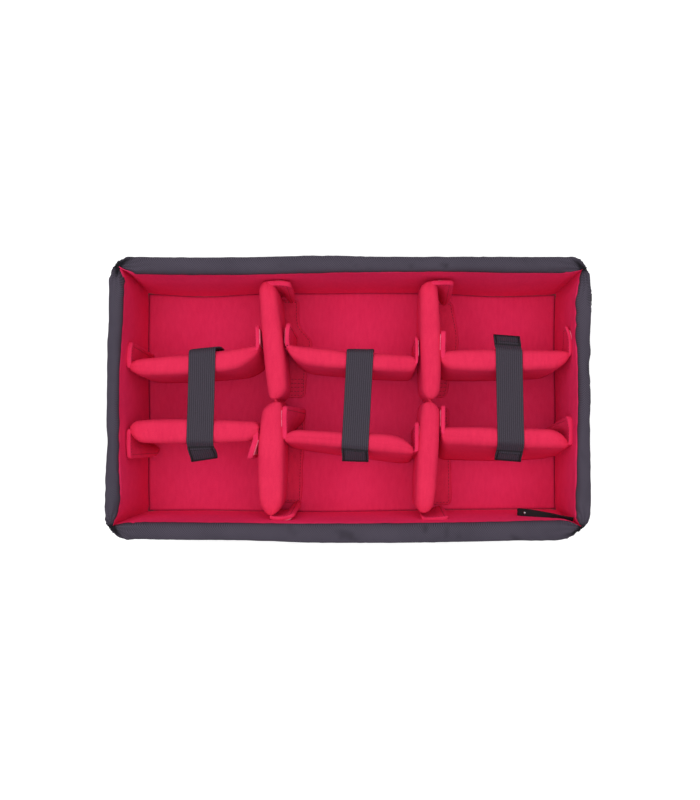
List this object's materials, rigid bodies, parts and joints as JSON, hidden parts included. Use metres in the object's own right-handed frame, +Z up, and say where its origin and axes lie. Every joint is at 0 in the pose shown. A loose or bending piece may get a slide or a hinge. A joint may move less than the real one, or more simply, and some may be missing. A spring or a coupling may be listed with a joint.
{
  "type": "padded divider insert",
  "caption": "Open padded tray with a cloth cover, loop-faced lining and movable padded dividers held by hook flaps and webbing straps.",
  "frame": {"origin": "middle of the base panel's underside, on the surface that the tray rests on", "axes": "+X along the length, towards the bay on the right; +Y towards the rear; +Z up, out of the tray"},
  "size_m": [0.5049, 0.296, 0.15],
  "materials": {
    "charcoal_cloth": "woven, matte",
    "charcoal_webbing": "ribbed webbing, slight sheen",
    "red_loop_cloth": "brushed loop cloth, matte",
    "black_tape": "woven tape",
    "hook_tape": "hook tape",
    "foam": "closed-cell foam",
    "rivet_metal": "satin"
  },
  "bodies": {
    "root": {"base_panel": "charcoal_cloth", "side_cover": "charcoal_cloth", "lining": "red_loop_cloth", "floor_foam": "foam", "rear_wall_foam": "foam", "front_wall_foam": "foam", "left_wall_foam": "foam", "right_wall_foam": "foam"},
    "left_long_divider": {"left_long_cover": "red_loop_cloth", "left_long_front_core": "foam", "left_long_rear_core": "foam", "left_long_front_floor_flap": "red_loop_cloth", "left_long_rear_floor_flap": "red_loop_cloth"},
    "left_long_front_end_flap": {"left_long_front_end_flap": "red_loop_cloth"},
    "left_long_rear_end_flap": {"left_long_rear_end_flap": "red_loop_cloth"},
    "right_long_divider": {"right_long_cover": "red_loop_cloth", "right_long_front_core": "foam", "right_long_rear_core": "foam", "right_long_front_floor_flap": "red_loop_cloth", "right_long_rear_floor_flap": "red_loop_cloth"},
    "right_long_front_end_flap": {"right_long_front_end_flap": "red_loop_cloth"},
    "right_long_rear_end_flap": {"right_long_rear_end_flap": "red_loop_cloth"},
    "left_rear_divider": {"left_rear_cover": "red_loop_cloth", "left_rear_core": "foam", "left_strap_rear_tab": "charcoal_webbing"},
    "left_rear_left_flap": {"left_rear_left_flap": "red_loop_cloth"},
    "left_rear_right_flap": {"left_rear_right_flap": "red_loop_cloth"},
    "left_front_divider": {"left_front_cover": "red_loop_cloth", "left_front_core": "foam"},
    "left_front_left_flap": {"left_front_left_flap": "red_loop_cloth"},
    "left_front_right_flap": {"left_front_right_flap": "red_loop_cloth"},
    "left_strap": {"left_strap": "charcoal_webbing", "left_strap_hook_patch": "hook_tape"},
    "mid_rear_divider": {"mid_rear_cover": "red_loop_cloth", "mid_rear_core": "foam", "mid_strap_rear_tab": "charcoal_webbing"},
    "mid_rear_left_flap": {"mid_rear_left_flap": "red_loop_cloth"},
    "mid_rear_right_flap": {"mid_rear_right_flap": "red_loop_cloth"},
    "mid_front_divider": {"mid_front_cover": "red_loop_cloth", "mid_front_core": "foam"},
    "mid_front_left_flap": {"mid_front_left_flap": "red_loop_cloth"},
    "mid_front_right_flap": {"mid_front_right_flap": "red_loop_cloth"},
    "mid_strap": {"mid_strap": "charcoal_webbing", "mid_strap_hook_patch": "hook_tape"},
    "right_rear_divider": {"right_rear_cover": "red_loop_cloth", "right_rear_core": "foam", "right_strap_rear_tab": "charcoal_webbing"},
    "right_rear_left_flap": {"right_rear_left_flap": "red_loop_cloth"},
    "right_rear_right_flap": {"right_rear_right_flap": "red_loop_cloth"},
    "right_front_divider": {"right_front_cover": "red_loop_cloth", "right_front_core": "foam"},
    "right_front_left_flap": {"right_front_left_flap": "red_loop_cloth"},
    "right_front_right_flap": {"right_front_right_flap": "red_loop_cloth"},
    "right_strap": {"right_strap": "charcoal_webbing", "right_strap_hook_patch": "hook_tape"},
    "inner_pull_loop": {"inner_pull_loop": "black_tape", "loop_rivet": "rivet_metal"},
    "outer_pull_loop": {"outer_pull_loop": "black_tape"}
  },
  "joints": [
    {"name": "left_long_lift", "type": "slide", "parent": "root", "child": "left_long_divider", "axis": [0, 0, 1], "range_m": [0, 0.15]},
    {"name": "left_long_front_end_flap_peel", "type": "hinge", "parent": "left_long_divider", "child": "left_long_front_end_flap", "pos_m": [-0.07681, -0.1272, 0.0146], "axis": [0, 0, 1], "range_deg": [0, 75]},
    {"name": "left_long_rear_end_flap_peel", "type": "hinge", "parent": "left_long_divider", "child": "left_long_rear_end_flap", "pos_m": [-0.08036, 0.1272, 0.0146], "axis": [0, 0, -1], "range_deg": [0, 75]},
    {"name": "right_long_lift", "type": "slide", "parent": "root", "child": "right_long_divider", "axis": [0, 0, 1], "range_m": [0, 0.15]},
    {"name": "right_long_front_end_flap_peel", "type": "hinge", "parent": "right_long_divider", "child": "right_long_front_end_flap", "pos_m": [0.08566, -0.1272, 0.0146], "axis": [0, 0, 1], "range_deg": [0, 75]},
    {"name": "right_long_rear_end_flap_peel", "type": "hinge", "parent": "right_long_divider", "child": "right_long_rear_end_flap", "pos_m": [0.09299, 0.1272, 0.0146], "axis": [0, 0, -1], "range_deg": [0, 75]},
    {"name": "left_pair_lift", "type": "slide", "parent": "root", "child": "left_rear_divider", "axis": [0, 0, 1], "range_m": [0, 0.15]},
    {"name": "left_rear_left_flap_peel", "type": "hinge", "parent": "left_rear_divider", "child": "left_rear_left_flap", "pos_m": [-0.2352, 0.03705, 0.0123], "axis": [0, -0.0708, -0.9975], "range_deg": [0, 75]},
    {"name": "left_rear_right_flap_peel", "type": "hinge", "parent": "left_rear_divider", "child": "left_rear_right_flap", "pos_m": [-0.09754, 0.05196, 0.0123], "axis": [0, 0.0708, 0.9975], "range_deg": [0, 75]},
    {"name": "left_spacing", "type": "slide", "parent": "left_rear_divider", "child": "left_front_divider", "axis": [0, 1, 0], "range_m": [0, 0.028]},
    {"name": "left_front_left_flap_peel", "type": "hinge", "parent": "left_front_divider", "child": "left_front_left_flap", "pos_m": [-0.2352, -0.04017, 0.0123], "axis": [0, 0, 1], "range_deg": [0, 75]},
    {"name": "left_front_right_flap_peel", "type": "hinge", "parent": "left_front_divider", "child": "left_front_right_flap", "pos_m": [-0.0947, -0.04068, 0.0123], "axis": [0, 0, -1], "range_deg": [0, 55]},
    {"name": "left_strap_peel", "type": "hinge", "parent": "left_rear_divider", "child": "left_strap", "pos_m": [-0.15985, 0.04942, 0.126], "axis": [-0.9944, -0.1061, 0], "range_deg": [0, 100]},
    {"name": "mid_pair_lift", "type": "slide", "parent": "left_long_divider", "child": "mid_rear_divider", "axis": [0, 0, 1], "range_m": [0, 0.15]},
    {"name": "mid_rear_left_flap_peel", "type": "hinge", "parent": "mid_rear_divider", "child": "mid_rear_left_flap", "pos_m": [-0.07087, 0.0558, 0.0146], "axis": [0, -0.0434, -0.9991], "range_deg": [0, 75]},
    {"name": "mid_rear_right_flap_peel", "type": "hinge", "parent": "mid_rear_divider", "child": "mid_rear_right_flap", "pos_m": [0.07227, 0.04346, 0.0146], "axis": [0, 0.0434, 0.9991], "range_deg": [0, 75]},
    {"name": "mid_spacing", "type": "slide", "parent": "mid_rear_divider", "child": "mid_front_divider", "axis": [0, 1, 0], "range_m": [0, 0.028]},
    {"name": "mid_front_left_flap_peel", "type": "hinge", "parent": "mid_front_divider", "child": "mid_front_left_flap", "pos_m": [-0.07011, -0.03837, 0.0146], "axis": [0, -0.1009, -0.9949], "range_deg": [0, 75]},
    {"name": "mid_front_right_flap_peel", "type": "hinge", "parent": "mid_front_divider", "child": "mid_front_right_flap", "pos_m": [0.06762, -0.05134, 0.0146], "axis": [0, 0.1009, 0.9949], "range_deg": [0, 75]},
    {"name": "mid_strap_peel", "type": "hinge", "parent": "mid_rear_divider", "child": "mid_strap", "pos_m": [0.01018, 0.05012, 0.126], "axis": [-0.9964, 0.0847, 0], "range_deg": [0, 100]},
    {"name": "right_pair_lift", "type": "slide", "parent": "right_long_divider", "child": "right_rear_divider", "axis": [0, 0, 1], "range_m": [0, 0.15]},
    {"name": "right_rear_left_flap_peel", "type": "hinge", "parent": "right_rear_divider", "child": "right_rear_left_flap", "pos_m": [0.09636, 0.04697, 0.0146], "axis": [0, -0.0651, -0.9979], "range_deg": [0, 75]},
    {"name": "right_rear_right_flap_peel", "type": "hinge", "parent": "right_rear_divider", "child": "right_rear_right_flap", "pos_m": [0.2352, 0.04787, 0.0146], "axis": [0, 0.0651, 0.9979], "range_deg": [0, 75]},
    {"name": "right_spacing", "type": "slide", "parent": "right_rear_divider", "child": "right_front_divider", "axis": [0, 1, 0], "range_m": [0, 0.028]},
    {"name": "right_front_left_flap_peel", "type": "hinge", "parent": "right_front_divider", "child": "right_front_left_flap", "pos_m": [0.09497, -0.04188, 0.0146], "axis": [0, -0.1434, -0.9897], "range_deg": [0, 75]},
    {"name": "right_front_right_flap_peel", "type": "hinge", "parent": "right_front_divider", "child": "right_front_right_flap", "pos_m": [0.2352, -0.04843, 0.0146], "axis": [0, 0.1434, 0.9897], "range_deg": [0, 75]},
    {"name": "right_strap_peel", "type": "hinge", "parent": "right_rear_divider", "child": "right_strap", "pos_m": [0.16812, 0.05124, 0.126], "axis": [-1, -0.0064, 0], "range_deg": [0, 100]},
    {"name": "inner_loop_swing", "type": "hinge", "parent": "root", "child": "inner_pull_loop", "pos_m": [0.2335, -0.1242, 0.138], "axis": [0, 1, 0], "range_deg": [0, 120]},
    {"name": "outer_loop_swing", "type": "hinge", "parent": "root", "child": "outer_pull_loop", "pos_m": [0.2526, 0.10858, 0.137], "axis": [0, -1, 0], "range_deg": [0, 150]}
  ]
}
